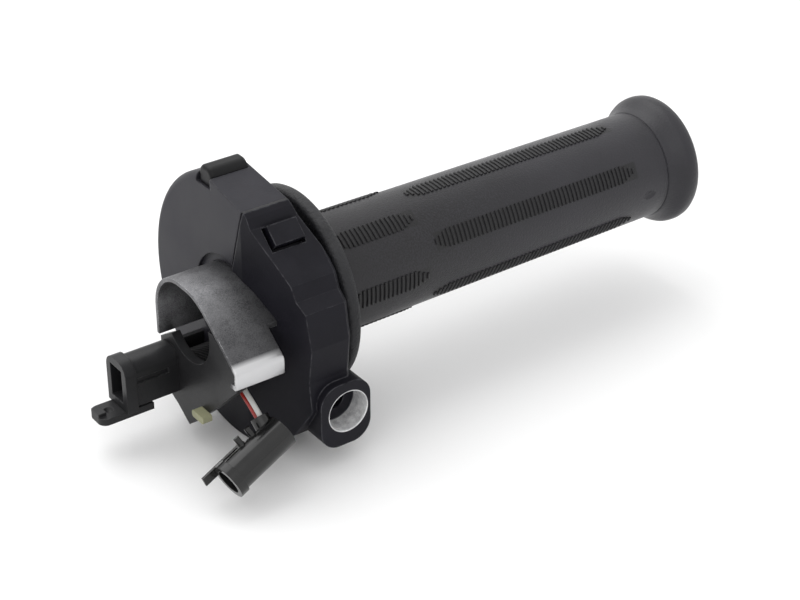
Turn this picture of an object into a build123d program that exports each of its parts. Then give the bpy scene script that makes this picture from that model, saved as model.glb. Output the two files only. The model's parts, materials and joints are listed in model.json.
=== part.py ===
from build123d import *
from math import acos, cos, pi, radians, sin, tan
import os

# Heated twist grip of a ride-by-wire motorcycle throttle, right-hand side.
# Millimetres. +X runs outboard along the handlebar, +Y points forward, +Z up.
# The origin is on the handlebar axis, in the housing's inboard face.

# --- driving dimensions ---------------------------------------------------------
BAR_BORE_R = 11.15          # sleeve bore for a 22 mm handlebar
SLEEVE_R = 12.4             # outside of the fixed sleeve
SLEEVE_X = (0.0, 157.2)
BUSH_R = 12.45              # running bore of the two bushes
TUBE_IN_R = 13.2
TUBE_R = 14.6
TUBE_X = (5.8, 155.0)
FOIL_R = 14.9               # outside of the heating foil
FOIL_X = (32.0, 146.0)

GRIP_R_INBOARD = 17.5
GRIP_R_OUTBOARD = 16.7
GRIP_X = (25.7, 160.0)
CREASE_X = 149.8            # where the end flange starts to flare
FLANGE_R = 20.4
RIB_PADS = 6                # long rib fields, with a short one between each two
FIRST_PAD = 91.5            # degrees round the grip, from forward towards up
LONG_PAD_X = (61.0, 137.0)
SHORT_PAD_X = (29.5, 57.5)
PAD_HALF = 9.0              # half width of a rib field in degrees
PAD_RISE = 0.3
COLLAR_R = 29.5
COLLAR_X = (21.0, 25.7)

HOUSING_R = 39.5
HOUSING_X = 20.0
WALL_IN = 5.2               # thickness of the inboard wall
WALL_OUT = 5.0              # thickness of the outboard wall
GEAR_BAY_R = 20.9
SPRING_BAY_R = 22.2
SEAL_R = 17.3
SEAM_TILT = 17.5            # degrees between the split plane and the upright
SEAM_AT = 1.0               # from the bar axis to the split plane
GASKET_T = 0.5
FACE_BREAK_Y = -9.0         # rearwards of this the inboard face slopes back
FACE_SLOPE = 0.28
TAPER_Z = 18.0              # above this the outboard face leans inboard
TAPER_SLOPE = 0.36
TOP_LINE = ((-12.0, 33.9), (9.0, 38.46))    # sloping flat on top, in y and z

MODULE = 0.8
GRIP_TEETH = 48
SENSOR_TEETH = 16
GEAR_X = (5.8, 9.6)
BACKLASH = 0.12
SENSOR_ANGLE = 20.0         # degrees, direction from the bar axis to the sensor axis
PIN_R = 1.5

LUG_X = 17.0
LUG_Z = -22.2
LUG_FACE_Y = -34.0
LUG_SIDES = (-9.0, 7.4)     # of the lug block, from the bore, along X
LUG_ENDS = (-10.6, 9.4)     # and along Z
LUG_ROUND = 6.0
LUG_BORE_R = 6.3
LUG_BORE_DEPTH = 7.0
LUG_THREAD_R = 3.0
LUG_THREAD_DEPTH = 9.0

SADDLE_T = 1.3
SADDLE_X = (-15.0, 4.6)

PLATE_X = (-13.0, -10.2)    # connector bracket
CONN_X = (-30.2, -13.0)
CONN_Y = (6.5, 15.5)
CONN_Z = (-25.5, -11.6)
LOOM_R = 3.0
LOOM_AT = (10.8, -19.5)

LEAD_D = 1.5                # two heater leads
LEAD_APART = (-0.9, 1.85)   # from the red lead to the white one, in y and z
LEAD_POINTS = [(5.0, -9.8, -13.2), (-7.0, -9.8, -13.2), (-7.5, -21.0, -15.2), (-6.5, -31.3, -25.0)]
GROMMET_R = 2.9
GROMMET_AT = (-10.25, -12.28)
PLUG_R = 4.8
PLUG_SOCKET_R = 3.8
PLUG_MOUTH = (-22.0, -33.7, -29.8)
PLUG_REAR = (-3.0, -31.8, -21.6)

SENSOR_DIST = MODULE * (GRIP_TEETH + SENSOR_TEETH) / 2
SENSOR_Y = SENSOR_DIST * cos(radians(SENSOR_ANGLE))
SENSOR_Z = SENSOR_DIST * sin(radians(SENSOR_ANGLE))


# --- shape helpers --------------------------------------------------------------
def rod(radius, x0, x1, y=0.0, z=0.0):
    """A cylinder along X."""
    centred = (Align.CENTER, Align.CENTER, Align.MIN)
    return Pos(x0, y, z) * Rot(0, 90, 0) * Cylinder(radius, x1 - x0, align=centred)


def pipe(outer, inner, x0, x1, y=0.0, z=0.0):
    """A tube along X."""
    return rod(outer, x0, x1, y, z) - rod(inner, x0 - 1, x1 + 1, y, z)


def block(x, y, z):
    """A box from its low and high pairs."""
    return Pos(x[0], y[0], z[0]) * Box(x[1] - x[0], y[1] - y[0], z[1] - z[0], align=(Align.MIN,) * 3)


def slab(outline, x0, x1):
    """A closed (y, z) outline pushed along X."""
    return extrude(Plane.YZ.offset(x0) * make_face(outline), x1 - x0)


def turned(outline):
    """A closed (x, radius) outline turned about the bar axis."""
    return revolve(make_face(outline), Axis.X, 360)


def beyond_seam(offset=0.0):
    """Everything forward of the split plane, moved by offset along its normal."""
    return Rot(SEAM_TILT, 0, 0) * Pos(0, SEAM_AT + offset + 60, 0) * Box(200, 120, 200)


def edges_at_x(shape, x):
    return shape.edges().filter_by(lambda e: abs(e.bounding_box().min.X - x) < 0.01
                                   and abs(e.bounding_box().max.X - x) < 0.01)


# --- housing --------------------------------------------------------------------
def bays():
    """The hollows inside: gears, spring, sensor rotor and circuit board."""
    inner = HOUSING_X - WALL_OUT
    return (rod(GEAR_BAY_R, WALL_IN, 10.4) + rod(SPRING_BAY_R, 10.2, inner)
            + rod(8.2, WALL_IN, 12.4, SENSOR_Y, SENSOR_Z)
            + block((12.2, inner), (19.5, 35.6), (-2.6, 12.6)))


def outer_slopes():
    """What the sloping top and the leaning outboard face take away."""
    (y0, z0), (y1, z1) = TOP_LINE
    rise = (z1 - z0) / (y1 - y0)
    top = slab(Polyline((-20, z0 + rise * (-20 - y0)), (30, z0 + rise * (30 - y0)), (30, 60), (-20, 60),
                        close=True), -5, 30)
    lean = make_face(Polyline((HOUSING_X + 0.5, TAPER_Z), (HOUSING_X + 0.5 - 27 * TAPER_SLOPE, TAPER_Z + 27),
                              (40, TAPER_Z + 27), (40, TAPER_Z), close=True))
    return top + extrude(Plane.XZ * lean, 60, both=True)


def bar_openings():
    return rod(SLEEVE_R, -5, WALL_IN + 1) + rod(SEAL_R, HOUSING_X - WALL_OUT - 1, HOUSING_X + 5)


def screw_spots():
    """Two places on the split plane, above and below the bar."""
    tilt = Rot(SEAM_TILT, 0, 0)
    return [tilt * Pos(8.6, SEAM_AT, 25.6), tilt * Pos(8.6, SEAM_AT, -30.0)]


def screw_part(radius, start, end):
    """A round feature on both screw axes, measured forward from the split plane."""
    centred = (Align.CENTER, Align.CENTER, Align.MIN)
    made = [spot * Rot(-90, 0, 0) * Pos(0, 0, start) * Cylinder(radius, end - start, align=centred)
            for spot in screw_spots()]
    return made[0] + made[1]


def along_y(radius, y0, y1, x, z):
    """A cylinder along Y."""
    centred = (Align.CENTER, Align.CENTER, Align.MIN)
    return Pos(x, y0, z) * Rot(-90, 0, 0) * Cylinder(radius, y1 - y0, align=centred)


def saddle_edge(grow):
    """One side of the bent saddle sheet, grow away from its middle line."""
    bar_c, top_c, bend = (0.0, 0.0), (-3.5, -2.9), 37.0
    normal = (cos(radians(90 + bend)), sin(radians(90 + bend)))
    run = (cos(radians(180 + bend)), sin(radians(180 + bend)))
    lip_c = (top_c[0] + 14.4 * normal[0] + 18.0 * run[0], top_c[1] + 14.4 * normal[1] + 18.0 * run[1])
    reach = 13.1 + grow
    over_bar = CenterArc(bar_c, reach, 0, 90)
    over_leads = CenterArc(top_c, 16.0 + grow, 90, bend)
    lip = CenterArc(lip_c, 1.6 + grow, 90 + bend, 90 - bend)
    return (Line((reach, -9.0), over_bar @ 0) + over_bar + Line(over_bar @ 1, over_leads @ 0) + over_leads
            + Line(over_leads @ 1, lip @ 0) + lip + Line(lip @ 1, ((lip @ 1).X, -6.1)))


def saddle_sheet(x0, x1):
    outer = saddle_edge(SADDLE_T / 2)
    inner = saddle_edge(-SADDLE_T / 2)
    ends = Line(outer @ 0, inner @ 0) + Line(outer @ 1, inner @ 1)
    sheet = slab(outer + inner + ends, x0, x1)
    return sheet - block((0.2, 30), (-40, -20.5), (-20, 30))


def metal_saddle():
    """Bent aluminium sheet over the bar, with a small foot turned in under its lip."""
    foot = block((SADDLE_X[0], SADDLE_X[0] + 3.0), (-28.0, -25.4), (-6.7, -5.4))
    return saddle_sheet(*SADDLE_X) + foot


def latch_block(x0, x1, down0, down1, low, high):
    """A box on the upper facet: along the grip, down the slope, and outwards."""
    facet = Plane(origin=(10.0, -12.4, 29.9), x_dir=(1, 0, 0), z_dir=(0, -7.2, 8.1))
    return facet * block((x0, x1), (-down1, -down0), (low, high))


def clamp_housing():
    """Rear half: faceted casting with the bolt lug."""
    corner = HOUSING_R * Vector(cos(radians(-130.4)), sin(radians(-130.4)))
    facets = Polyline((8.0, 35.3), (-9.6, 35.3), (-11.3, 33.0), (-12.4, 29.9), (-20.5, 22.7), (-25.8, 17.6),
                      (-27.5, 13.4), (-30.6, 10.6), (-32.4, 0.0), (-31.2, -11.0), (-32.0, -20.0),
                      (corner.X, corner.Y))
    belly = CenterArc((0, 0), HOUSING_R, -130.4, 75)
    body = slab(facets + belly + Line(belly @ 1, (8.0, 35.3)), 0, HOUSING_X)
    body = chamfer(edges_at_x(body, HOUSING_X), 1.4)
    reach = -50.0 - FACE_BREAK_Y
    wedge = make_face(Polyline((0, FACE_BREAK_Y), (-reach * FACE_SLOPE, -50), (-9, -50),
                               (-9, FACE_BREAK_Y), close=True))
    body -= Pos(0, 0, -60) * extrude(wedge, 120)
    body -= outer_slopes()
    lug = block((LUG_X + LUG_SIDES[0], LUG_X + LUG_SIDES[1]), (LUG_FACE_Y, -16.0),
                (LUG_Z + LUG_ENDS[0], LUG_Z + LUG_ENDS[1]))
    body += fillet(lug.edges().filter_by(Axis.Y), LUG_ROUND)
    body -= rod(COLLAR_R + 0.9, HOUSING_X + 0.4, 40)
    body -= along_y(LUG_BORE_R, LUG_FACE_Y - 1, LUG_FACE_Y + LUG_BORE_DEPTH, LUG_X, LUG_Z)
    body -= along_y(LUG_THREAD_R, LUG_FACE_Y, LUG_FACE_Y + LUG_BORE_DEPTH + LUG_THREAD_DEPTH, LUG_X, LUG_Z)
    body -= beyond_seam(-GASKET_T / 2)
    body -= bays()
    body -= bar_openings()
    body -= screw_part(2.0, -5.5, 1)
    body -= saddle_sheet(-1, SADDLE_X[1])
    body -= rod(GROMMET_R, -1, WALL_IN + 1, *GROMMET_AT)
    body -= latch_block(-5.8, 5.0, 0.4, 7.7, -2.4, 3.0)
    return body


def rear_cover():
    """Forward half: round cover over the sensor, with a plug slot on its rim."""
    body = rod(HOUSING_R, 0, HOUSING_X)
    body = fillet(edges_at_x(body, 0), 2.2)
    body = chamfer(edges_at_x(body, HOUSING_X), 1.4)
    body -= outer_slopes()
    body &= beyond_seam(GASKET_T / 2)
    body -= bays()
    body -= bar_openings()
    body -= rod(16.3, -1, 1.2)
    body -= screw_part(2.1, -1, 9)
    body -= screw_part(4.0, 8, 40)
    body -= saddle_sheet(-1, SADDLE_X[1])
    body -= rod(PIN_R, 1.6, WALL_IN + 1, SENSOR_Y, SENSOR_Z)
    body -= rod(LOOM_R, -1, WALL_IN + 1, *LOOM_AT)
    body -= block((-1, 12.6), (6.0, 13.4), (34.4, 45))
    return body


def cover_gasket():
    sheet = rod(36.0, 0.5, HOUSING_X - 0.5) & (beyond_seam(-GASKET_T / 2) - beyond_seam(GASKET_T / 2))
    sheet -= outer_slopes()
    return sheet - bays() - bar_openings() - screw_part(2.3, -2, 2) - saddle_sheet(-1, SADDLE_X[1])


def cover_screws():
    """Two M4 cap screws with hex sockets."""
    screws = screw_part(1.95, -5.0, 8.2) + screw_part(3.5, 8.0, 12.0)
    centred = (Align.CENTER, Align.CENTER, Align.MIN)
    for spot in screw_spots():
        hexagon = extrude(RegularPolygon(1.73, 6), 4)
        screws -= spot * Rot(-90, 0, 0) * Pos(0, 0, 9.8) * hexagon
        screws -= spot * Rot(-90, 0, 0) * Pos(0, 0, 11.9) * Cylinder(2.2, 1, align=centred)
    return screws


def slot_plug():
    body = block((0.9, 12.4), (6.2, 13.2), (34.4, 39.9))
    body = fillet(body.edges().filter_by(Axis.X).group_by(Axis.Z)[-1], 2.6)
    return fillet(edges_at_x(body, 0.9).group_by(Axis.Z)[-1], 1.2)


def latch_tab():
    """Snap tongue of the cover, seated in the upper facet."""
    return latch_block(-4.6, 4.8, 0.5, 6.5, -2.4, 1.2)


def shaft_seal():
    """Lip seal between the housing and the turning tube."""
    x0 = HOUSING_X - WALL_OUT
    return turned(Polyline((x0, SEAL_R), (x0 + 2.4, SEAL_R), (x0 + 2.4, 16.2), (x0 + 3.2, 15.0),
                           (x0 + 2.6, 14.9), (x0 + 1.2, 15.9), (x0, 15.9), close=True))


# --- inside the housing ---------------------------------------------------------
def gear(teeth, x0, x1, first):
    """Spur gear with 20 degree involute flanks and one tooth centred on first degrees."""
    pitch_r = MODULE * teeth / 2
    base_r = pitch_r * cos(radians(20))
    tip_r, root_r = pitch_r + MODULE, pitch_r - 1.25 * MODULE
    half = (pi * MODULE / 2 - BACKLASH) / 2 / pitch_r + tan(radians(20)) - radians(20)
    start = max(base_r, root_r)
    flank = []
    for step in range(5):
        radius = start + (tip_r - start) * step / 4
        roll = acos(min(1.0, base_r / radius))
        flank.append((radius, half - (tan(roll) - roll)))
    points = []
    for tooth in range(teeth):
        middle = radians(first) + 2 * pi * tooth / teeth
        rising = [(root_r, flank[0][1])] + flank
        for radius, off in rising:
            points.append((radius * cos(middle - off), radius * sin(middle - off)))
        for radius, off in reversed(rising):
            points.append((radius * cos(middle + off), radius * sin(middle + off)))
    tidy = [p for n, p in enumerate(points) if Vector(*p).sub(Vector(*points[n - 1])).length > 1e-4]
    return slab(Polyline(*tidy, close=True), x0, x1)


def drive_gear():
    return gear(GRIP_TEETH, *GEAR_X, SENSOR_ANGLE) - rod(TUBE_R, 0, 20)


def sensor_gear():
    """Follower, with a space facing the drive gear's tooth."""
    space = SENSOR_ANGLE + 180 + 180 / SENSOR_TEETH
    wheel = Pos(0, SENSOR_Y, SENSOR_Z) * gear(SENSOR_TEETH, *GEAR_X, space)
    return wheel - rod(PIN_R + 0.06, 0, 20, SENSOR_Y, SENSOR_Z)


def sensor_magnet():
    return rod(3.2, GEAR_X[1], 11.6, SENSOR_Y, SENSOR_Z)


def sensor_pin():
    return rod(PIN_R, 1.6, 9.3, SENSOR_Y, SENSOR_Z)


def circuit_board():
    return block((12.9, 14.2), (22.6, 35.2), (-2.2, 12.2))


def board_parts():
    """Angle sensor over the magnet, and four small parts."""
    parts = block((12.0, 12.9), (22.9, 26.7), (6.8, 10.7))
    for row in range(4):
        z = -1.4 + 3.1 * row
        parts += block((12.3, 12.9), (29.6, 33.6), (z, z + 1.7))
    return parts


def return_spring():
    """Torsion spring round the tube, with one leg to the gear and one to the housing."""
    mean_r, wire_r, low, pitch, turns = 16.4, 0.65, 11.1, 1.55, 2
    coil = Pos(low, 0, 0) * Rot(0, 90, 0) * Helix(pitch, pitch * turns, mean_r)
    start = Plane(origin=coil @ 0, z_dir=coil % 0)
    wire = sweep(start * Circle(wire_r), path=coil)
    inner, outer = coil @ 0, coil @ 1
    wire += rod(wire_r, 9.7, inner.X, inner.Y, inner.Z)
    away = Vector(0, outer.Y, outer.Z).normalized()
    leg = Plane(origin=outer, z_dir=away) * Cylinder(wire_r, 5.0, align=(Align.CENTER, Align.CENTER, Align.MIN))
    return wire + leg


def heater_ribbon():
    """Flat lead wound loosely in the spring bay, which lets the heated tube turn."""
    turns, inner_r, outer_r, thick, steps = 1.4, 18.7, 21.3, 0.25, 28

    def spiral(extra):
        points = []
        for step in range(steps + 1):
            share = step / steps
            radius = inner_r + (outer_r - inner_r) * share + extra
            points.append((radius * cos(2 * pi * turns * share), radius * sin(2 * pi * turns * share)))
        return Spline(*points)

    inside, outside = spiral(0), spiral(thick)
    ends = Line(inside @ 0, outside @ 0) + Line(inside @ 1, outside @ 1)
    return slab(inside + outside + ends, 10.7, 12.7)


# --- fixed sleeve and turning tube ----------------------------------------------
def inner_sleeve():
    groove = pipe(SLEEVE_R + 1, 11.85, 155.75, 156.85)
    return pipe(SLEEVE_R, BAR_BORE_R, *SLEEVE_X) - groove


def bush(x0, x1):
    return pipe(TUBE_IN_R, BUSH_R, x0, x1)


def thrust_washer():
    return pipe(14.2, SLEEVE_R + 0.06, 155.1, 155.65)


def retaining_ring():
    """Open snap ring in the sleeve's groove."""
    return pipe(13.9, 11.86, 155.8, 156.8) - block((150, 160), (-2.2, 2.2), (-20, 0))


def throttle_tube():
    return pipe(TUBE_R, TUBE_IN_R, *TUBE_X)


def heating_foil():
    return pipe(FOIL_R, TUBE_R, *FOIL_X)


# --- grip -----------------------------------------------------------------------
def grip_radius(x):
    share = (x - GRIP_X[0]) / (CREASE_X - GRIP_X[0])
    return GRIP_R_INBOARD + (GRIP_R_OUTBOARD - GRIP_R_INBOARD) * share


def rib_pad(x0, x1, middle):
    """One slightly raised field that follows the grip's taper."""
    rise = turned(Polyline((x0, 15.5), (x0, grip_radius(x0) + PAD_RISE),
                           (x1, grip_radius(x1) + PAD_RISE), (x1, 15.5), close=True))
    width = 2 * GRIP_R_INBOARD * sin(radians(PAD_HALF))
    return rise & (Rot(middle, 0, 0) * block((x0, x1), (12, 20), (-width / 2, width / 2)))


def grip_rubber():
    """Tapered rubber sleeve with a flared end and raised rib fields."""
    x0, x1 = GRIP_X
    lip = 2.6
    skin = Polyline((x0, GRIP_R_INBOARD), (CREASE_X, GRIP_R_OUTBOARD), (CREASE_X, GRIP_R_OUTBOARD + 0.25))
    flare = Spline(skin @ 1, (152.2, 18.0), (154.6, FLANGE_R - 0.5), tangents=[(1, 0.25), (1, 0.9)])
    brow = Spline(flare @ 1, (156.0, FLANGE_R - 0.03), (x1 - lip, FLANGE_R), tangents=[(1, 0.9), (1, 0)])
    rim = CenterArc((x1 - lip, FLANGE_R - lip), lip, 90, -90)
    back = Polyline(rim @ 1, (x1, TUBE_R), (FOIL_X[1], TUBE_R), (FOIL_X[1], FOIL_R),
                    (FOIL_X[0], FOIL_R), (FOIL_X[0], TUBE_R), (x0, TUBE_R), (x0, GRIP_R_INBOARD))
    body = turned(skin + flare + brow + rim + back)
    for number in range(RIB_PADS):
        middle = FIRST_PAD + number * 360 / RIB_PADS
        body += rib_pad(*LONG_PAD_X, middle)
        body += rib_pad(*SHORT_PAD_X, middle + 180 / RIB_PADS)
    return body


def grip_collar():
    """Thick rubber disc between the grip and the housing."""
    x0, x1 = COLLAR_X
    body = pipe(COLLAR_R, TUBE_R, x0, x1)
    body = fillet(edges_at_x(body, x0).sort_by(SortBy.LENGTH)[-1], 1.4)
    return fillet(edges_at_x(body, x1).sort_by(SortBy.LENGTH)[-1], 2.0)


# --- connectors and leads -------------------------------------------------------
def connector_bracket():
    """Plastic plate under the bar, joined to the housing by a shelf and a side wall."""
    outline = Polyline((15.5, -11.6), (15.5, -27.0), (8.0, -30.5), (2.0, -34.5), (-12.0, -22.0),
                       (-25.5, -9.0), (-24.0, -4.0), (-14.0, 3.0), (-8.0, 3.0), close=True)
    body = slab(outline, *PLATE_X)
    body += block((PLATE_X[1] - 1, 0), (2.0, 15.5), (-29.0, -27.2))
    body += block((PLATE_X[1] - 1, 0), (14.0, 15.5), (-29.0, -14.0))
    return body - rod(11.9, -20, 0) - rod(LOOM_R, -20, 0, *LOOM_AT)


def retainer_clip():
    """Small pale clip on the bracket's lower edge."""
    clip = block((-16.0, -13.0), (-11.2, -5.2), (-26.4, -24.2))
    return fillet(clip.edges().filter_by(Axis.X), 0.8)


def socket_block(start, end, inset=0.0):
    """The main socket's room, measured inwards from its mouth."""
    return block((CONN_X[0] + start, CONN_X[0] + end), (CONN_Y[0] + 1.3 + inset, CONN_Y[1] - 1.3 - inset),
                 (CONN_Z[0] + 1.5 + inset, CONN_Z[1] - 1.8 - inset))


def main_connector_body():
    """Upright socket with a thicker rim and a key groove on its side."""
    body = block(CONN_X, CONN_Y, CONN_Z)
    body = fillet(body.edges().filter_by(Axis.X).group_by(Axis.Z)[-1], 3.4)
    rim = block((CONN_X[0], CONN_X[0] + 3.5), (CONN_Y[0] - 1, CONN_Y[1] + 1), (CONN_Z[0] - 1, CONN_Z[1] + 0.7))
    body += fillet(rim.edges().filter_by(Axis.X).group_by(Axis.Z)[-1], 4.2)
    body -= socket_block(-1, 10)
    groove = block((CONN_X[0] + 3.5, CONN_X[1] - 3), (CONN_Y[0] - 1, CONN_Y[0] + 0.5), (0, 1.7))
    return body - Pos(0, 0, CONN_Z[0] + 7.2) * groove - main_connector_pins()


def main_connector_pins():
    """Two rows of three blade contacts."""
    pins = None
    for column in (CONN_Y[0] + 3.3, CONN_Y[0] + 5.7):
        for row in range(3):
            z = CONN_Z[0] + 3.6 + 3.2 * row
            pin = block((CONN_X[0] + 4.5, CONN_X[1] - 6.0), (column - 0.4, column + 0.4), (z - 0.4, z + 0.4))
            pins = pin if pins is None else pins + pin
    return pins


def main_connector_seal():
    """Soft ring at the bottom of the socket."""
    return socket_block(8.4, 10) - socket_block(0, 12, 1.0)


def main_connector_lock():
    """Springy tongue that reaches out under the mouth, with a dimple near its tip."""
    top = CONN_Z[0] - 1.0
    middle = (CONN_Y[0] + CONN_Y[1]) / 2
    tongue = block((CONN_X[0] - 7.5, CONN_X[0] + 9), (middle - 4.1, middle + 4.1), (top - 2.1, top))
    tongue = fillet(tongue.edges().filter_by(Axis.Z).group_by(Axis.X)[0], 2.5)
    tip = block((CONN_X[0] - 7.5, CONN_X[0] - 5.0), (middle - 2.1, middle + 2.1), (top - 0.1, top + 1.1))
    return tongue + tip - Pos(CONN_X[0] - 3.2, middle, top + 0.9) * Sphere(1.7)


def lead_route(apart):
    """Out through the grommet, a bend to the rear, then down into the round plug."""
    points = [(x, y + apart * LEAD_APART[0], z + apart * LEAD_APART[1]) for x, y, z in LEAD_POINTS]
    runs = [Vector(*end) - Vector(*start) for start, end in zip(points, points[1:])]
    bends = []
    for before, after in zip(runs, runs[1:]):
        turn = radians(before.get_angle(after))
        bends.append(0.45 * min(before.length, after.length) / tan(turn / 2))
    return FilletPolyline(*points, radius=bends), bends


def heater_lead(apart, diameter=LEAD_D):
    path, bends = lead_route(apart)
    return sweep(Plane(origin=path @ 0, z_dir=path % 0) * Circle(diameter / 2), path=path)


def lead_grommet():
    body = rod(GROMMET_R, 0, WALL_IN, *GROMMET_AT) + rod(3.3, -1.0, 0, *GROMMET_AT)
    return body - heater_lead(0, LEAD_D + 0.04) - heater_lead(1, LEAD_D + 0.04)


def sensor_loom():
    return rod(LOOM_R, CONN_X[1], WALL_IN - 0.4, *LOOM_AT)


def plug_plane():
    """Origin in the round plug's mouth, z along its body, y upwards."""
    mouth = Vector(*PLUG_MOUTH)
    axis = (Vector(*PLUG_REAR) - mouth).normalized()
    return Plane(origin=mouth, x_dir=Vector(0, 0, 1).cross(axis), z_dir=axis)


def in_plug(radius, start, end, side=0.0, up=0.0):
    """A cylinder along the round plug."""
    centred = (Align.CENTER, Align.CENTER, Align.MIN)
    return plug_plane() * Pos(side, up, start) * Cylinder(radius, end - start, align=centred)


def plug_length():
    return (Vector(*PLUG_REAR) - Vector(*PLUG_MOUTH)).length


def round_plug_body():
    """Round two-pole socket with a side boot for the leads and two coding posts."""
    body = in_plug(PLUG_R, 0, plug_length()) + in_plug(PLUG_R + 0.6, 0, 2.6)
    for along in (9.4, 13.4):
        post = Pos(0, 0, along) * Rot(0, 90, 0) * Cylinder(0.9, 7.4, align=(Align.CENTER,) * 2 + (Align.MIN,))
        body += plug_plane() * Rot(0, 0, 55) * post
    end = Vector(*LEAD_POINTS[3])
    back = (Vector(*LEAD_POINTS[2]) - end).normalized()
    middle = end + Vector(0, *LEAD_APART) / 2
    body += Plane(origin=middle, z_dir=back) * Cylinder(2.6, 7.6, align=(Align.CENTER,) * 2 + (Align.MIN,))
    body -= in_plug(PLUG_SOCKET_R, -1, 13)
    return body - round_plug_pins() - heater_lead(0) - heater_lead(1)


def round_plug_pins():
    return in_plug(0.6, 5.0, 14.5, -1.6) + in_plug(0.6, 5.0, 14.5, 1.6)


def round_plug_seal():
    return in_plug(PLUG_SOCKET_R, 11.4, 13.0) - in_plug(3.0, 11, 14)


def round_plug_latch():
    """Thin blade beside the mouth."""
    blade = Pos(0, PLUG_R + 1.2, 3.5) * Box(3.0, 0.7, 15)
    foot = Pos(0, PLUG_R + 0.45, 10.0) * Box(3.0, 1.5, 2.6)
    shape = plug_plane() * Rot(0, 0, -90) * (blade + foot)
    return shape - in_plug(PLUG_R, -5, 30) - in_plug(PLUG_R + 0.6, -1, 2.6)


NODES = {
    "clamp_housing": clamp_housing,
    "rear_cover": rear_cover,
    "cover_gasket": cover_gasket,
    "cover_screws": cover_screws,
    "slot_plug": slot_plug,
    "latch_tab": latch_tab,
    "shaft_seal": shaft_seal,
    "metal_saddle": metal_saddle,
    "inner_sleeve": inner_sleeve,
    "thrust_washer": thrust_washer,
    "retaining_ring": retaining_ring,
    "sensor_pin": sensor_pin,
    "circuit_board": circuit_board,
    "board_parts": board_parts,
    "return_spring": return_spring,
    "heater_ribbon": heater_ribbon,
    "throttle_tube": throttle_tube,
    "bush_inboard": lambda: bush(TUBE_X[0], 18.0),
    "bush_outboard": lambda: bush(143.0, TUBE_X[1]),
    "drive_gear": drive_gear,
    "heating_foil": heating_foil,
    "grip_rubber": grip_rubber,
    "grip_collar": grip_collar,
    "sensor_gear": sensor_gear,
    "sensor_magnet": sensor_magnet,
    "connector_bracket": connector_bracket,
    "retainer_clip": retainer_clip,
    "main_connector_body": main_connector_body,
    "main_connector_pins": main_connector_pins,
    "main_connector_seal": main_connector_seal,
    "main_connector_lock": main_connector_lock,
    "sensor_loom": sensor_loom,
    "lead_grommet": lead_grommet,
    "heater_lead_red": lambda: heater_lead(0),
    "heater_lead_white": lambda: heater_lead(1),
    "round_plug_body": round_plug_body,
    "round_plug_pins": round_plug_pins,
    "round_plug_seal": round_plug_seal,
    "round_plug_latch": round_plug_latch,
}

os.makedirs("parts", exist_ok=True)
for name, make in NODES.items():
    shape = make()
    export_step(shape, f"parts/{name}.step")
    box = shape.bounding_box()
    print(f"{name:22s} {shape.volume:10.1f} mm3  {box.min.X:7.1f} {box.max.X:7.1f}  "
          f"{box.min.Y:6.1f} {box.max.Y:6.1f}  {box.min.Z:6.1f} {box.max.Z:6.1f}")

lead_path, lead_bends = lead_route(0)
for bend in lead_bends:
    print(f"lead bend radius {bend:.2f} mm, {bend / LEAD_D:.1f} diameters")
print(f"lead length {lead_path.length:.1f} mm, volume {pi * LEAD_D ** 2 / 4 * lead_path.length:.1f} mm3")
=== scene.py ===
import json
from math import cos, radians, sin

import bpy
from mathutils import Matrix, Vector


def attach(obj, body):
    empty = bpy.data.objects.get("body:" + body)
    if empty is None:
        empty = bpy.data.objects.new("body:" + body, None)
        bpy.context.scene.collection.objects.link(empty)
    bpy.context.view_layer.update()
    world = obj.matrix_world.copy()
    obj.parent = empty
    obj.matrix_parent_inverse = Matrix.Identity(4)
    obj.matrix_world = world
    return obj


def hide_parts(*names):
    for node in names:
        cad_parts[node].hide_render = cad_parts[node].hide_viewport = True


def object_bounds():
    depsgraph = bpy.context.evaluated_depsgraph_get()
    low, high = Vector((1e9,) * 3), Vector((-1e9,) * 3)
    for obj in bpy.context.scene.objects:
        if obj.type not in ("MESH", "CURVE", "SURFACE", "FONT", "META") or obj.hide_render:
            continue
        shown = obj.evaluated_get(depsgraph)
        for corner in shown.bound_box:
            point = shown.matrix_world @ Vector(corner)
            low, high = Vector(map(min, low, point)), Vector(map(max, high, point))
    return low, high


# Heated twist grip with its clamp housing, on a pale table.
# Metres, in the frame of the CAD model: +X outboard, +Y forward, +Z up.

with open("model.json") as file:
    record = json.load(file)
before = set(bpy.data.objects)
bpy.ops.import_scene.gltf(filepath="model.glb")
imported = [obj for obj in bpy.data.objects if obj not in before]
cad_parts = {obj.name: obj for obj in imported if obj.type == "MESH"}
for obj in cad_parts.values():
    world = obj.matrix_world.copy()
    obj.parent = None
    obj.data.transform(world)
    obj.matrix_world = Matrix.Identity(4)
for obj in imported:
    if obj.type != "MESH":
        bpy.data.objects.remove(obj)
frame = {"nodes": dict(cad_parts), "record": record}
cad_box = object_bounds()
nodes = frame["nodes"]
MM = 0.001


# --- camera ---------------------------------------------------------------------
CAMERA_PLACE = (-0.2395, -0.4121, 0.2869)
CAMERA_TILT = 59.37         # degrees up from straight down
CAMERA_SWING = -35.93       # degrees about the upright


def place_camera():
    turn = (radians(CAMERA_TILT), 0, radians(CAMERA_SWING))
    bpy.ops.object.camera_add(location=CAMERA_PLACE, rotation=turn)
    camera = bpy.context.object
    camera.data.lens = 90
    camera.data.sensor_width = 36
    camera.data.shift_y = -0.0125
    camera.data.clip_start = 0.01
    bpy.context.scene.camera = camera


place_camera()


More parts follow.
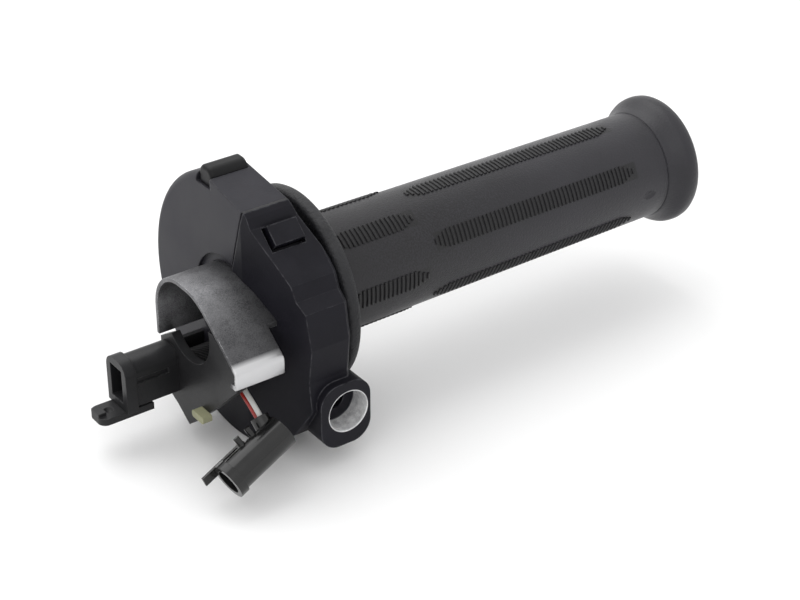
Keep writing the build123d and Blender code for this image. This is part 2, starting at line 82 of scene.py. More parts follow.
# --- shared effects ---------------------------------------------------------------
def begin_group(name, inputs, outputs):
    """An empty shader node group with its named sockets."""
    group = bpy.data.node_groups.new(name, "ShaderNodeTree")
    for label, kind, value in inputs:
        socket = group.interface.new_socket(label, in_out="INPUT", socket_type=kind)
        if value is not None:
            socket.default_value = value
    for label, kind in outputs:
        group.interface.new_socket(label, in_out="OUTPUT", socket_type=kind)
    return group, group.nodes.new("NodeGroupInput"), group.nodes.new("NodeGroupOutput")


def add_math(tree, operation, first, second=None, clamp=False):
    node = tree.nodes.new("ShaderNodeMath")
    node.operation = operation
    node.use_clamp = clamp
    for socket, value in zip(node.inputs, (first, second)):
        if value is None:
            continue
        if isinstance(value, (int, float)):
            socket.default_value = value
        else:
            tree.links.new(value, socket)
    return node.outputs[0]


def add_range(tree, value, low, high, to_low=0.0, to_high=1.0):
    node = tree.nodes.new("ShaderNodeMapRange")
    node.inputs["From Min"].default_value = low
    node.inputs["From Max"].default_value = high
    node.inputs["To Min"].default_value = to_low
    node.inputs["To Max"].default_value = to_high
    tree.links.new(value, node.inputs["Value"])
    return node.outputs["Result"]


def add_noise(tree, vector, scale, detail=2.0, roughness=0.5):
    node = tree.nodes.new("ShaderNodeTexNoise")
    tree.links.new(vector, node.inputs["Vector"])
    if isinstance(scale, (int, float)):
        node.inputs["Scale"].default_value = scale
    else:
        tree.links.new(scale, node.inputs["Scale"])
    node.inputs["Detail"].default_value = detail
    node.inputs["Roughness"].default_value = roughness
    return node.outputs["Fac"]


def make_grain_group():
    """Fine pitted skin of a moulding or casting, with slow patches of tone."""
    group, into, out = begin_group(
        "moulded_grain",
        [("Vector", "NodeSocketVector", None), ("Grains", "NodeSocketFloat", 1500.0),
         ("Patches", "NodeSocketFloat", 60.0)],
        [("Height", "NodeSocketFloat"), ("Mottle", "NodeSocketFloat")])
    fine = add_noise(group, into.outputs["Vector"], into.outputs["Grains"], 3.0, 0.65)
    slow = add_noise(group, into.outputs["Vector"], into.outputs["Patches"], 4.0, 0.6)
    group.links.new(fine, out.inputs["Height"])
    group.links.new(add_range(group, slow, 0.32, 0.68), out.inputs["Mottle"])
    return group


def make_rubbed_and_highlit_edge_group():
    """Rounded edge normals, and a broken edge mask for edges painted lighter: partly rubbed wear, partly
    painted highlight.
    """
    group, into, out = begin_group(
        "rubbed_and_highlit_edge",
        [("Vector", "NodeSocketVector", None), ("Radius", "NodeSocketFloat", 0.0003)],
        [("Normal", "NodeSocketVector"), ("Edge", "NodeSocketFloat")])
    bevel = group.nodes.new("ShaderNodeBevel")
    bevel.samples = 6
    group.links.new(into.outputs["Radius"], bevel.inputs["Radius"])
    shape = group.nodes.new("ShaderNodeNewGeometry")
    dot = group.nodes.new("ShaderNodeVectorMath")
    dot.operation = "DOT_PRODUCT"
    group.links.new(bevel.outputs["Normal"], dot.inputs[0])
    group.links.new(shape.outputs["True Normal"], dot.inputs[1])
    turned = add_range(group, dot.outputs["Value"], 0.985, 0.86)
    broken = add_range(group, add_noise(group, into.outputs["Vector"], 420.0, 3.0, 0.7), 0.35, 0.6)
    group.links.new(bevel.outputs["Normal"], out.inputs["Normal"])
    group.links.new(add_math(group, "MULTIPLY", turned, broken, True), out.inputs["Edge"])
    return group


def make_dust_group():
    """Thin dust that settles where a surface faces up."""
    group, into, out = begin_group(
        "settled_dust",
        [("Vector", "NodeSocketVector", None), ("Amount", "NodeSocketFloat", 0.2)],
        [("Dust", "NodeSocketFloat")])
    shape = group.nodes.new("ShaderNodeNewGeometry")
    split = group.nodes.new("ShaderNodeSeparateXYZ")
    group.links.new(shape.outputs["Normal"], split.inputs["Vector"])
    upward = add_range(group, split.outputs["Z"], 0.1, 1.0)
    film = add_range(group, add_noise(group, into.outputs["Vector"], 160.0, 4.0, 0.7), 0.35, 0.75, 0.4, 1.0)
    fine = add_noise(group, into.outputs["Vector"], 2600.0, 1.0, 0.5)
    specks = add_range(group, fine, 0.70, 0.76, 0.0, 0.9)
    both = add_math(group, "MAXIMUM", film, specks)
    amount = add_math(group, "MULTIPLY", both, into.outputs["Amount"])
    group.links.new(add_math(group, "MULTIPLY", amount, upward, True), out.inputs["Dust"])
    return group


def make_metal_group():
    """Rolled or turned metal: fine scratches and cloudy patches."""
    group, into, out = begin_group(
        "metal_marks",
        [("Vector", "NodeSocketVector", None), ("Clouds", "NodeSocketFloat", 140.0)],
        [("Scratch", "NodeSocketFloat"), ("Cloud", "NodeSocketFloat")])
    scratch = add_noise(group, into.outputs["Vector"], 900.0, 3.0, 0.7)
    cloud = add_noise(group, into.outputs["Vector"], into.outputs["Clouds"], 6.0, 0.72)
    group.links.new(scratch, out.inputs["Scratch"])
    group.links.new(add_range(group, cloud, 0.38, 0.62), out.inputs["Cloud"])
    return group


GRAIN = make_grain_group()
RUBBED_AND_HIGHLIT_EDGE = make_rubbed_and_highlit_edge_group()
DUST = make_dust_group()
METAL = make_metal_group()


# --- finishes ---------------------------------------------------------------------
def begin_material(name):
    material = bpy.data.materials.new(name)
    material.use_nodes = True
    tree = material.node_tree
    shader = tree.nodes["Principled BSDF"]
    place = tree.nodes.new("ShaderNodeTexCoord").outputs["Object"]
    return material, tree, shader, place


def add_effect(tree, group, vector, **values):
    node = tree.nodes.new("ShaderNodeGroup")
    node.node_tree = group
    tree.links.new(vector, node.inputs["Vector"])
    for label, value in values.items():
        node.inputs[label].default_value = value
    return node


def add_mix(tree, share, first, second):
    """Colours mixed by a mask."""
    node = tree.nodes.new("ShaderNodeMix")
    node.data_type = "RGBA"
    tree.links.new(share, node.inputs["Factor"])
    for label, colour in (("A", first), ("B", second)):
        socket = [s for s in node.inputs if s.name == label and s.type == "RGBA"][0]
        if isinstance(colour, tuple):
            socket.default_value = (*colour, 1.0)
        else:
            tree.links.new(colour, socket)
    return [s for s in node.outputs if s.type == "RGBA"][0]


def add_bump(tree, height, normal, depth):
    node = tree.nodes.new("ShaderNodeBump")
    node.inputs["Strength"].default_value = 1.0
    node.inputs["Distance"].default_value = depth
    tree.links.new(height, node.inputs["Height"])
    if normal is not None:
        tree.links.new(normal, node.inputs["Normal"])
    return node.outputs["Normal"]


def plastic(name, colour, patch, rough, grains=1500.0, depth=0.00004, edge=None, wear_and_highlight=0.5,
            radius=0.0003, dust=0.15, coat=0.0, specular=0.28):
    """Moulded plastic, rubber or a coated casting, with grain, dust, and edges painted lighter as rubbed wear
    and painted highlight.
    """
    material, tree, shader, place = begin_material(name)
    grain = add_effect(tree, GRAIN, place, Grains=grains)
    rubbed_and_highlit = add_effect(tree, RUBBED_AND_HIGHLIT_EDGE, place, Radius=radius)
    dusty = add_effect(tree, DUST, place, Amount=dust)
    tone = add_mix(tree, grain.outputs["Mottle"], colour, patch)
    # Edges lightened by the edge mask: rubbed wear and painted highlight.
    worn_and_highlit = add_math(tree, "MULTIPLY", rubbed_and_highlit.outputs["Edge"], wear_and_highlight, True)
    tone = add_mix(tree, worn_and_highlit, tone, edge or tuple(min(1.0, c * 3 + 0.03) for c in colour))
    tone = add_mix(tree, dusty.outputs["Dust"], tone, (0.30, 0.30, 0.31))
    tree.links.new(tone, shader.inputs["Base Color"])
    tree.links.new(add_range(tree, grain.outputs["Mottle"], 0, 1, rough - 0.06, rough + 0.06),
                   shader.inputs["Roughness"])
    tree.links.new(add_bump(tree, grain.outputs["Height"], rubbed_and_highlit.outputs["Normal"], depth),
                   shader.inputs["Normal"])
    shader.inputs["Coat Weight"].default_value = coat
    shader.inputs["Coat Roughness"].default_value = 0.12
    shader.inputs["Specular IOR Level"].default_value = specular
    return material


def metal(name, colour, cloud, rough, clouds=140.0, depth=0.00001, radius=0.0002):
    """Bare metal with clouds, scratches, and edges painted bright as rubbed wear and painted highlight."""
    material, tree, shader, place = begin_material(name)
    marks = add_effect(tree, METAL, place, Clouds=clouds)
    rubbed_and_highlit = add_effect(tree, RUBBED_AND_HIGHLIT_EDGE, place, Radius=radius)
    tone = add_mix(tree, marks.outputs["Cloud"], colour, cloud)
    # Edges painted near white: rubbed wear and painted highlight.
    tone = add_mix(tree, rubbed_and_highlit.outputs["Edge"], tone, (0.92, 0.92, 0.92))
    tree.links.new(tone, shader.inputs["Base Color"])
    tree.links.new(add_range(tree, marks.outputs["Cloud"], 0, 1, rough - 0.15, rough + 0.15),
                   shader.inputs["Roughness"])
    tree.links.new(add_bump(tree, marks.outputs["Scratch"], rubbed_and_highlit.outputs["Normal"], depth),
                   shader.inputs["Normal"])
    shader.inputs["Metallic"].default_value = 1.0
    return material


LUG_AXIS = (0.017, -0.0222)     # x and z of the bolt lug's bore
LUG_WALL_R = (0.0064, 0.0066)   # where bare metal gives way to the coat
# Where the bore's floor begins; past it the bore keeps the dark coat, as painted shade.
LUG_SHADED_FLOOR_Y = (-0.0274, -0.0271)


def coated_casting():
    """Dark coated casting whose lug bore is bare machined metal; the bore's floor keeps the dark coat as
    painted shade.
    """
    # Its edges are painted lighter: rubbed wear and a painted highlight along its convex edges.
    material = plastic("coated_casting", (0.0040, 0.0038, 0.0065), (0.0080, 0.0076, 0.0115), 0.52,
                       grains=1900.0, depth=0.00005, edge=(0.10, 0.10, 0.11), wear_and_highlight=0.7, radius=0.0006,
                       dust=0.02, specular=0.15)
    tree = material.node_tree
    shader = tree.nodes["Principled BSDF"]
    place = tree.nodes.new("ShaderNodeTexCoord").outputs["Object"]
    from_axis = tree.nodes.new("ShaderNodeVectorMath")
    from_axis.operation = "MULTIPLY_ADD"
    tree.links.new(place, from_axis.inputs[0])
    from_axis.inputs[1].default_value = (1, 0, 1)
    from_axis.inputs[2].default_value = (-LUG_AXIS[0], 0, -LUG_AXIS[1])
    away = tree.nodes.new("ShaderNodeVectorMath")
    away.operation = "LENGTH"
    tree.links.new(from_axis.outputs["Vector"], away.inputs[0])
    split = tree.nodes.new("ShaderNodeSeparateXYZ")
    tree.links.new(place, split.inputs["Vector"])
    marks = add_effect(tree, METAL, place, Clouds=420.0)
    inside = add_range(tree, away.outputs["Value"], LUG_WALL_R[1], LUG_WALL_R[0])
    # Bare metal stops short of the bore's floor, which is left dark as painted shade.
    clear_of_floor_shade = add_range(tree, split.outputs["Y"], LUG_SHADED_FLOOR_Y[1], LUG_SHADED_FLOOR_Y[0])
    bare = add_math(tree, "MULTIPLY", inside, clear_of_floor_shade, True)
    old_colour = shader.inputs["Base Color"].links[0].from_socket
    old_rough = shader.inputs["Roughness"].links[0].from_socket
    bright = add_mix(tree, marks.outputs["Cloud"], (0.60, 0.60, 0.61), (0.95, 0.95, 0.95))
    tree.links.new(add_mix(tree, bare, old_colour, bright), shader.inputs["Base Color"])
    tree.links.new(add_math(tree, "MULTIPLY", bare, 0.5), shader.inputs["Metallic"])
    shine = tree.nodes.new("ShaderNodeMix")
    shine.data_type = "FLOAT"
    tree.links.new(bare, shine.inputs["Factor"])
    tree.links.new(old_rough, shine.inputs["A"])
    shine.inputs["B"].default_value = 0.45
    tree.links.new(shine.outputs["Result"], shader.inputs["Roughness"])
    return material


def rolled_aluminium():
    """Grey sheet with fine specks and soft clouds, painted shade darkening it down the slope, a painted
    highlight along its lip, and cut edges painted bright as wear and highlight.
    """
    material, tree, shader, place = begin_material("mill_aluminium")
    marks = add_effect(tree, METAL, place, Clouds=130.0)
    rubbed_and_highlit = add_effect(tree, RUBBED_AND_HIGHLIT_EDGE, place, Radius=0.0003)
    specks = add_range(tree, add_noise(tree, place, 3200.0, 2.0, 0.7), 0.36, 0.64)
    split = tree.nodes.new("ShaderNodeSeparateXYZ")
    tree.links.new(place, split.inputs["Vector"])
    # Painted highlight along the rolled lip.
    lip = add_range(tree, split.outputs["Y"], -0.0262, -0.0275)
    grey = add_mix(tree, specks, (0.070, 0.070, 0.074), (0.185, 0.185, 0.192))
    grey = add_mix(tree, add_math(tree, "MULTIPLY", marks.outputs["Cloud"], 0.45), grey, (0.30, 0.30, 0.31))
    # Painted shade: the sheet darkens down its slope.
    slope_shade = add_range(tree, split.outputs["Y"], -0.008, -0.022, 0.0, 0.6)
    grey = add_mix(tree, slope_shade, grey, (0.035, 0.035, 0.037))
    # Lip and edges painted bright: painted highlight, and rubbed wear on the cut edges.
    bright = add_math(tree, "MAXIMUM", add_math(tree, "MULTIPLY", lip, 0.75), rubbed_and_highlit.outputs["Edge"])
    tree.links.new(add_mix(tree, bright, grey, (0.72, 0.72, 0.73)), shader.inputs["Base Color"])
    tree.links.new(add_range(tree, bright, 0, 1, 0.50, 0.28), shader.inputs["Roughness"])
    tree.links.new(add_bump(tree, marks.outputs["Scratch"], rubbed_and_highlit.outputs["Normal"], 0.00002),
                   shader.inputs["Normal"])
    shader.inputs["Metallic"].default_value = 1.0
    return material


def grained_rubber():
    """Coarse grained grip rubber, with painted shade in the rib fields between the ribs, and rougher near the
    collar.
    """
    material = plastic("grip_rubber", (0.0100, 0.0092, 0.0130), (0.0165, 0.0155, 0.0205), 0.37,
                       grains=1700.0, depth=0.00014, wear_and_highlight=0.1, radius=0.0003, dust=0.015, specular=0.42)
    tree = material.node_tree
    shader = tree.nodes["Principled BSDF"]
    place = tree.nodes.new("ShaderNodeTexCoord").outputs["Object"]
    split = tree.nodes.new("ShaderNodeSeparateXYZ")
    tree.links.new(place, split.inputs["Vector"])
    along = split.outputs["X"]
    angle = add_math(tree, "ARCTAN2", split.outputs["Z"], split.outputs["Y"])
    turned = add_math(tree, "MULTIPLY", angle, 57.3)
    field = add_math(tree, "PINGPONG", add_math(tree, "ADD", turned, 358.5), 30.0)
    long_field = add_math(tree, "MULTIPLY", add_range(tree, field, 20.5, 21.5),
                          add_math(tree, "MULTIPLY", add_range(tree, along, 0.0603, 0.0609),
                                   add_range(tree, along, 0.1377, 0.1371)))
    short_field = add_math(tree, "MULTIPLY", add_range(tree, field, 9.5, 8.5),
                           add_math(tree, "MULTIPLY", add_range(tree, along, 0.0288, 0.0294),
                                    add_range(tree, along, 0.0582, 0.0576)))
    # Painted shade: the rib fields are darkened between the ribs.
    rib_field_shade = add_math(tree, "MULTIPLY", add_math(tree, "MAXIMUM", long_field, short_field), 0.75, True)
    old_colour = shader.inputs["Base Color"].links[0].from_socket
    specks = add_range(tree, add_noise(tree, place, 1900.0, 3.0, 0.7), 0.40, 0.60)
    smooth_end = add_math(tree, "MAXIMUM", specks, add_range(tree, along, 0.050, 0.105, 0.0, 0.9))
    speckled = add_mix(tree, smooth_end, (0.0020, 0.0017, 0.0024), old_colour)
    inboard = add_range(tree, along, 0.075, 0.026, 0.0, 0.85)
    speckled = add_mix(tree, inboard, speckled, (0.0060, 0.0052, 0.0072))
    tree.links.new(add_mix(tree, rib_field_shade, speckled, (0.0012, 0.0010, 0.0014)), shader.inputs["Base Color"])
    old_rough = shader.inputs["Roughness"].links[0].from_socket
    tree.links.new(add_math(tree, "ADD", old_rough, add_range(tree, along, 0.060, 0.026, 0.0, 0.14)),
                   shader.inputs["Roughness"])
    return material


def turned_aluminium():
    """Bright sleeve with fine turning rings along it."""
    material, tree, shader, place = begin_material("turned_aluminium")
    rings = tree.nodes.new("ShaderNodeTexWave")
    rings.wave_type = "BANDS"
    rings.bands_direction = "X"
    rings.inputs["Scale"].default_value = 900.0
    rings.inputs["Distortion"].default_value = 1.5
    tree.links.new(place, rings.inputs["Vector"])
    marks = add_effect(tree, METAL, place, Clouds=200.0)
    tree.links.new(add_mix(tree, marks.outputs["Cloud"], (0.22, 0.22, 0.225), (0.34, 0.34, 0.345)),
                   shader.inputs["Base Color"])
    tree.links.new(add_range(tree, rings.outputs["Fac"], 0, 1, 0.24, 0.42), shader.inputs["Roughness"])
    tree.links.new(add_bump(tree, rings.outputs["Fac"], None, 0.000003), shader.inputs["Normal"])
    shader.inputs["Metallic"].default_value = 1.0
    return material


def circuit_green():
    """Lacquered board with lighter copper runs under the lacquer."""
    material, tree, shader, place = begin_material("board_green")
    brick = tree.nodes.new("ShaderNodeTexBrick")
    brick.inputs["Scale"].default_value = 420.0
    brick.inputs["Mortar Size"].default_value = 0.03
    brick.inputs["Color1"].default_value = (0.01, 0.09, 0.03, 1)
    brick.inputs["Color2"].default_value = (0.01, 0.12, 0.04, 1)
    brick.inputs["Mortar"].default_value = (0.04, 0.22, 0.08, 1)
    tree.links.new(place, brick.inputs["Vector"])
    tree.links.new(brick.outputs["Color"], shader.inputs["Base Color"])
    grain = add_effect(tree, GRAIN, place, Grains=2000.0)
    tree.links.new(add_range(tree, grain.outputs["Mottle"], 0, 1, 0.25, 0.4), shader.inputs["Roughness"])
    shader.inputs["Coat Weight"].default_value = 0.5
    return material


def wound_loom():
    """Woven sleeve over the sensor leads."""
    material, tree, shader, place = begin_material("loom_sleeve")
    weave = tree.nodes.new("ShaderNodeTexWave")
    weave.wave_type = "BANDS"
    weave.bands_direction = "DIAGONAL"
    weave.inputs["Scale"].default_value = 500.0
    tree.links.new(place, weave.inputs["Vector"])
    tree.links.new(add_mix(tree, weave.outputs["Fac"], (0.006, 0.006, 0.006), (0.03, 0.03, 0.032)),
                   shader.inputs["Base Color"])
    tree.links.new(add_range(tree, weave.outputs["Fac"], 0, 1, 0.7, 0.5), shader.inputs["Roughness"])
    tree.links.new(add_bump(tree, weave.outputs["Fac"], None, 0.0001), shader.inputs["Normal"])
    return material


# Each finish's edge amount paints its edges lighter: rubbed wear and painted highlight.
FINISHES = {
    "coated_casting": coated_casting(),
    "cover_plastic": plastic("cover_plastic", (0.0150, 0.0145, 0.0190), (0.0225, 0.0218, 0.0280), 0.46,
                             grains=1700.0, depth=0.00004, edge=(0.12, 0.12, 0.125), wear_and_highlight=0.4,
                             radius=0.0006, dust=0.03, specular=0.18),
    "gasket_rubber": plastic("gasket_rubber", (0.006, 0.006, 0.006), (0.012, 0.012, 0.012), 0.7),
    "zinc_steel": metal("zinc_steel", (0.52, 0.52, 0.50), (0.68, 0.67, 0.63), 0.34),
    "plug_rubber": plastic("plug_rubber", (0.0030, 0.0030, 0.0035), (0.0055, 0.0055, 0.0060), 0.40,
                           grains=1300.0, depth=0.00003, wear_and_highlight=0.3, radius=0.0004, dust=0.02, specular=0.18),
    "mill_aluminium": rolled_aluminium(),
    "turned_aluminium": turned_aluminium(),
    "board_green": circuit_green(),
    "chip_black": plastic("chip_black", (0.010, 0.010, 0.010), (0.016, 0.016, 0.017), 0.45, dust=0.0),
    "ribbon_amber": plastic("ribbon_amber", (0.45, 0.18, 0.03), (0.52, 0.22, 0.04), 0.35, dust=0.0),
    "tube_plastic": plastic("tube_plastic", (0.012, 0.012, 0.013), (0.02, 0.02, 0.021), 0.5, dust=0.0),
    "bush_plastic": plastic("bush_plastic", (0.55, 0.54, 0.50), (0.62, 0.61, 0.57), 0.45, dust=0.0),
    "gear_plastic": plastic("gear_plastic", (0.60, 0.59, 0.55), (0.68, 0.67, 0.62), 0.42, dust=0.0),
    "grip_rubber": grained_rubber(),
    "collar_rubber": plastic("collar_rubber", (0.006, 0.006, 0.0075), (0.014, 0.014, 0.016), 0.52,
                             grains=850.0, depth=0.00040, wear_and_highlight=0.5, radius=0.0004, dust=0.08),
    "connector_plastic": plastic("connector_plastic", (0.006, 0.006, 0.007), (0.011, 0.011, 0.012), 0.42,
                                 grains=1600.0, depth=0.00004, edge=(0.09, 0.09, 0.09), wear_and_highlight=0.4,
                                 radius=0.0003, dust=0.05),
    "cream_plastic": plastic("cream_plastic", (0.20, 0.20, 0.12), (0.30, 0.30, 0.19), 0.5, dust=0.0),
    "contact_tin": metal("contact_tin", (0.60, 0.60, 0.58), (0.75, 0.74, 0.72), 0.3),
    "seal_silicone": plastic("seal_silicone", (0.25, 0.06, 0.03), (0.30, 0.08, 0.04), 0.5, dust=0.0),
    "loom_sleeve": wound_loom(),
    # The red and white leads are coloured darker than their own colour: painted shade, for where they lie
    # under the housing.
    "lead_red": plastic("lead_red", (0.27, 0.018, 0.014), (0.36, 0.03, 0.022), 0.32, depth=0.00001, wear_and_highlight=0.0,
                        dust=0.0, coat=0.3),
    "lead_white": plastic("lead_white", (0.42, 0.42, 0.41), (0.52, 0.52, 0.50), 0.32, depth=0.00001,
                          wear_and_highlight=0.0, dust=0.0, coat=0.3),
    "plug_gloss": plastic("plug_gloss", (0.0045, 0.0045, 0.0045), (0.008, 0.008, 0.008), 0.22, grains=900.0,
                          depth=0.00001, edge=(0.06, 0.06, 0.06), wear_and_highlight=0.3, radius=0.0003, dust=0.02,
                          coat=0.3),
}


def finish_nodes():
    """Every CAD node takes the finish of its slot in the record."""
    for part in frame["record"]["subparts"]:
        for holder in nodes[part["node"]].material_slots:
            holder.material = FINISHES[part["material_slot"]]


finish_nodes()


# --- heater leads -----------------------------------------------------------------
LEAD_POINTS = [(5.0, -9.8, -13.2), (-7.0, -9.8, -13.2), (-7.5, -21.0, -15.2), (-6.5, -31.3, -25.0)]
LEAD_APART = (-0.9, 1.85)
LEAD_R = 0.75


def lay_lead(name, apart, slot, node):
    points = [(x, y + apart * LEAD_APART[0], z + apart * LEAD_APART[1]) for x, y, z in LEAD_POINTS]
    curve = bpy.data.curves.new(name, "CURVE")
    curve.dimensions = "3D"
    curve.bevel_depth = LEAD_R * MM
    curve.bevel_resolution = 5
    curve.resolution_u = 16
    curve.use_fill_caps = True
    spline = curve.splines.new("NURBS")
    spline.points.add(len(points) - 1)
    for point, (x, y, z) in zip(spline.points, points):
        point.co = (x * MM, y * MM, z * MM, 1)
    spline.order_u = 3
    spline.use_endpoint_u = True
    curve.materials.append(FINISHES[slot])
    lead = bpy.data.objects.new(name, curve)
    bpy.context.scene.collection.objects.link(lead)
    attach(lead, "housing")
    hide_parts(node)
    return lead


lay_lead("lead_red_wire", 0, "lead_red", "heater_lead_red")
lay_lead("lead_white_wire", 1, "lead_white", "heater_lead_white")


# --- table and light --------------------------------------------------------------
def lay_table():
    low = cad_box[0][2]
    bpy.ops.mesh.primitive_plane_add(size=4, location=(0, 0, low))
    table = bpy.context.object
    table.name = "table"
    bpy.ops.object.transform_apply(location=True, rotation=True, scale=True)
    material, tree, shader, place = begin_material("table_white")
    tone = add_noise(tree, place, 6.0, 2.0, 0.5)
    tree.links.new(add_mix(tree, tone, (0.86, 0.86, 0.86), (0.89, 0.89, 0.89)), shader.inputs["Base Color"])
    shader.inputs["Roughness"].default_value = 0.6
    table.data.materials.append(material)


def add_softbox(name, place, aim, size, power):
    bpy.ops.object.light_add(type="AREA", location=place)
    lamp = bpy.context.object
    lamp.name = name
    lamp.data.shape = "DISK"
    lamp.data.size = size
    lamp.data.energy = power
    lamp.rotation_euler = (Vector(aim) - Vector(place)).to_track_quat("-Z", "Y").to_euler()


def light_table():
    world = bpy.data.worlds.new("pale_room")
    bpy.context.scene.world = world
    world.use_nodes = True
    world.node_tree.nodes["Background"].inputs["Color"].default_value = (1.0, 1.0, 1.0, 1.0)
    world.node_tree.nodes["Background"].inputs["Strength"].default_value = 1.08
    centre = (0.06, 0.0, 0.0)
    add_softbox("key_light", (-0.05, 0.45, 0.85), centre, 1.0, 4.0)
    add_softbox("fill_light", (-0.55, -0.75, 0.75), centre, 1.0, 1.6)
    bpy.context.scene.view_settings.view_transform = "Standard"


lay_table()
light_table()


# --- modelling helpers --------------------------------------------------------------
def start_fresh():
    if bpy.context.mode != "OBJECT":
        bpy.ops.object.mode_set(mode="OBJECT")
    bpy.ops.object.select_all(action="DESELECT")


def pick(*pieces):
    start_fresh()
    for piece in pieces:
        piece.select_set(True)
    bpy.context.view_layer.objects.active = pieces[0]


def fix_place(piece):
    pick(piece)
    bpy.ops.object.transform_apply(location=True, rotation=True, scale=True)
    return piece


def close_shell():
    """In edit mode: weld the shell, and turn its faces outwards."""
    bpy.ops.mesh.select_all(action="SELECT")
    bpy.ops.mesh.remove_doubles(threshold=0.000002)
    bpy.ops.mesh.normals_make_consistent(inside=False)
    bpy.ops.object.mode_set(mode="OBJECT")


def turn_about_bar(degrees, steps, y=0.0, z=0.0):
    """In edit mode: spin what is selected about a line along X, from forward towards up."""
    bpy.ops.mesh.spin(steps=steps, angle=-radians(degrees), center=(0, y * MM, z * MM), axis=(1, 0, 0))


def first_point(name, x, y, z):
    """A new piece in edit mode that is one selected point."""
    start_fresh()
    bpy.ops.mesh.primitive_plane_add(size=MM, location=(x * MM, y * MM, z * MM))
    piece = bpy.context.object
    piece.name = name
    bpy.ops.object.transform_apply(location=True, rotation=True, scale=True)
    bpy.ops.object.mode_set(mode="EDIT")
    bpy.ops.mesh.select_all(action="SELECT")
    bpy.ops.mesh.merge(type="CENTER")
    return piece


def draw_to(x, y, z):
    bpy.ops.mesh.extrude_vertices_move(TRANSFORM_OT_translate={"value": (x * MM, y * MM, z * MM)})


def turn_outline(name, outline, steps=96):
    """A closed (x, radius) outline, spun all the way round the bar."""
    piece = first_point(name, outline[0][0], 0, outline[0][1])
    for (x0, r0), (x1, r1) in zip(outline, outline[1:] + outline[:1]):
        draw_to(x1 - x0, 0, r1 - r0)
    bpy.ops.mesh.select_all(action="SELECT")
    bpy.ops.mesh.remove_doubles(threshold=0.000002)
    bpy.ops.mesh.select_all(action="SELECT")
    turn_about_bar(360, steps)
    close_shell()
    return piece


def apply_modifier(piece, kind, **values):
    pick(piece)
    modifier = piece.modifiers.new(kind.lower(), kind)
    for label, value in values.items():
        setattr(modifier, label, value)
    bpy.ops.object.modifier_apply(modifier=modifier.name)


def smooth(piece, degrees=35):
    pick(piece)
    bpy.ops.object.shade_smooth_by_angle(angle=radians(degrees))


def seat(piece, body, slot, *stands_for):
    """Fix the piece's place, give it its finish and let it ride."""
    fix_place(piece)
    piece.data.materials.clear()
    piece.data.materials.append(FINISHES[slot])
    start_fresh()
    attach(piece, body)
    if stands_for:
        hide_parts(*stands_for)
    return piece


def solid_box(name, x, y, z):
    """A box from its low and high pairs, as a start for shaping."""
    start_fresh()
    bpy.ops.mesh.primitive_cube_add(size=MM, location=[(low + high) / 2 * MM for low, high in (x, y, z)],
                                    scale=[high - low for low, high in (x, y, z)])
    box = fix_place(bpy.context.object)
    box.name = name
    return box


def cut_away(piece, x, y, z):
    cutter = solid_box("cutter", x, y, z)
    apply_modifier(piece, "BOOLEAN", operation="DIFFERENCE", solver="EXACT", object=cutter)
    bpy.data.objects.remove(cutter)


# --- grip ---------------------------------------------------------------------------
GRIP_START = 25.7
GRIP_START_R = 17.5
GRIP_TAPER = 0.8 / 124.1        # loss of radius along the grip


def grip_radius(x):
    return GRIP_START_R - GRIP_TAPER * (x - GRIP_START)


def make_grip():
    """Tapered sleeve with a creased, flared end and a small oval dimple."""
    outline = [(25.7, 17.1), (26.1, 17.5)]
    outline += [(x, grip_radius(x)) for x in (40, 60, 80, 100, 120, 132, 149.2)]
    outline += [(149.6, 16.45), (149.8, 16.8), (150.3, 17.05), (151.2, 17.4), (152.4, 18.1), (153.6, 19.1),
                (154.6, 19.85), (155.5, 20.25), (156.4, 20.38), (157.4, 20.4), (158.4, 20.2), (159.25, 19.65),
                (159.8, 18.8), (160.0, 17.8), (160.0, 15.0), (159.8, 14.62), (146.0, 14.62), (146.0, 14.92),
                (32.0, 14.92), (32.0, 14.62), (25.7, 14.62)]
    grip = turn_outline("grip_sleeve", outline)
    angle = radians(184.5)
    start_fresh()
    bpy.ops.mesh.primitive_uv_sphere_add(
        segments=48, ring_count=24, radius=MM,
        location=(142.0 * MM, 18.0 * cos(angle) * MM, 18.0 * sin(angle) * MM), scale=(3.1, 1.9, 1.9))
    dimple = fix_place(bpy.context.object)
    apply_modifier(grip, "BOOLEAN", operation="DIFFERENCE", solver="EXACT", object=dimple)
    bpy.data.objects.remove(dimple)
    smooth(grip, 30)
    return seat(grip, "twist_grip", "grip_rubber", "grip_rubber")


def make_rib(x, middle, half):
    """One rounded rib across a field, following the grip's surface."""
    start_fresh()
    start = radians(middle - half)
    r = grip_radius(x) + 0.02
    bpy.ops.mesh.primitive_circle_add(vertices=8, radius=0.43 * MM, fill_type="NGON",
                                      location=(x * MM, r * cos(start) * MM, r * sin(start) * MM),
                                      rotation=(start, 0, 0))
    rib = fix_place(bpy.context.object)
    bpy.ops.object.mode_set(mode="EDIT")
    bpy.ops.mesh.select_all(action="SELECT")
    turn_about_bar(2 * half, 5)
    close_shell()
    return rib


def make_rib_field(x0, x1, middle, pitch=1.5, half=9.0, tips=(0.3, 0.55, 0.8)):
    """A row of ribs, with shorter ribs at both ends."""
    count = int((x1 - x0) / pitch) - 2 * len(tips) + 1
    row = make_rib(x0 + len(tips) * pitch, middle, half)
    sink = -GRIP_TAPER * pitch
    apply_modifier(row, "ARRAY", count=count, use_relative_offset=False, use_constant_offset=True,
                   constant_offset_displace=(pitch * MM, sink * cos(radians(middle)) * MM,
                                             sink * sin(radians(middle)) * MM))
    ends = []
    for step, share in enumerate(tips):
        ends.append(make_rib(x0 + step * pitch, middle, half * share))
        ends.append(make_rib(x0 + (count + 2 * len(tips) - 1 - step) * pitch, middle, half * share))
    pick(row, *ends)
    bpy.ops.object.join()
    return row


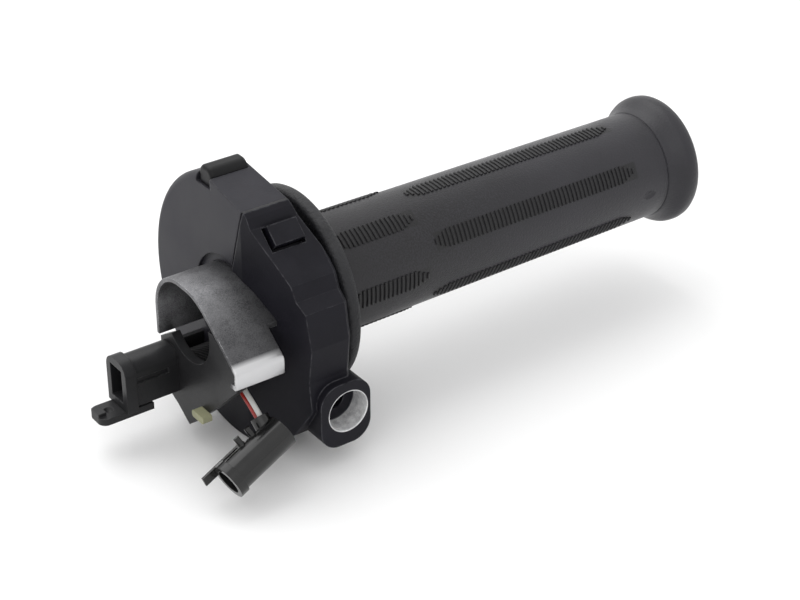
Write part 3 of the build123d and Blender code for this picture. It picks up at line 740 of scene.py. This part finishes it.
def make_ribs():
    """Long and short rib fields, six of each round the grip."""
    rows = []
    for x0, x1, middle in ((61.0, 137.0, 91.5), (29.5, 57.5, 121.5)):
        first = make_rib_field(x0, x1, middle)
        rows.append(first)
        for turn in range(1, 6):
            pick(first)
            bpy.ops.object.duplicate()
            again = bpy.context.object
            again.rotation_euler.x = radians(60 * turn)
            rows.append(fix_place(again))
    pick(*rows)
    bpy.ops.object.join()
    ribs = rows[0]
    ribs.name = "grip_ribs"
    smooth(ribs, 60)
    return seat(ribs, "twist_grip", "grip_rubber")


def make_collar():
    """Thick rubber disc with rounded edges and a shallow step near the grip."""
    outline = [(21.0, 14.7), (21.0, 27.6), (21.15, 28.4), (21.6, 29.05), (22.3, 29.4), (23.2, 29.5),
               (24.2, 29.4), (25.0, 28.9), (25.55, 28.1), (25.7, 27.2), (25.7, 19.0), (25.2, 18.7),
               (25.0, 18.0), (25.0, 17.2), (25.7, 16.8), (25.7, 14.7)]
    collar = turn_outline("collar_disc", outline, 128)
    smooth(collar, 40)
    return seat(collar, "twist_grip", "collar_rubber", "grip_collar")


make_grip()
make_ribs()
make_collar()


# --- saddle ---------------------------------------------------------------------------
SHEET_T = 1.3
BAR_BEND_R = 13.1               # of the sheet's middle, over the bar
FOOT_Z = (-9.0, -6.1)           # where the sheet ends forward and rearward
LEAD_BEND = 37                  # degrees, over the leads
LEAD_BEND_AT = (-3.5, -2.9)
SKIRT = 18.0                    # straight run down to the lip


def make_saddle():
    """Aluminium sheet bent over the bar, then over the leads, with a rolled lip."""
    bend = radians(LEAD_BEND)
    normal, run = (-sin(bend), cos(bend)), (-cos(bend), -sin(bend))
    lip = [at + 14.4 * out + SKIRT * down for at, out, down in zip(LEAD_BEND_AT, normal, run)]
    sheet = first_point("saddle_sheet", -15.0, BAR_BEND_R, FOOT_Z[0])
    draw_to(0, 0, -FOOT_Z[0])
    turn_about_bar(90, 20)
    draw_to(0, LEAD_BEND_AT[0], 0)
    turn_about_bar(LEAD_BEND, 8, *LEAD_BEND_AT)
    draw_to(0, SKIRT * run[0], SKIRT * run[1])
    turn_about_bar(90 - LEAD_BEND, 6, *lip)
    draw_to(0, 0, FOOT_Z[1] - lip[1])
    bpy.ops.mesh.select_all(action="SELECT")
    bpy.ops.mesh.remove_doubles(threshold=0.000002)
    bpy.ops.mesh.select_all(action="SELECT")
    bpy.ops.mesh.extrude_region_move(TRANSFORM_OT_translate={"value": (19.6 * MM, 0, 0)})
    close_shell()
    apply_modifier(sheet, "SOLIDIFY", thickness=SHEET_T * MM, offset=0.0, use_even_offset=True)
    cut_away(sheet, (0.2, 10), (-40, -20.5), (-20, 30))
    apply_modifier(sheet, "BEVEL", width=0.22 * MM, segments=2, limit_method="ANGLE",
                   angle_limit=radians(50))
    smooth(sheet, 40)
    foot = solid_box("foot", (-15.0, -12.0), (-28.0, -25.4), (-6.7, -5.4))
    apply_modifier(foot, "BEVEL", width=0.2 * MM, segments=2)
    smooth(foot, 40)
    pick(sheet, foot)
    bpy.ops.object.join()
    return seat(sheet, "housing", "mill_aluminium", "metal_saddle")


make_saddle()
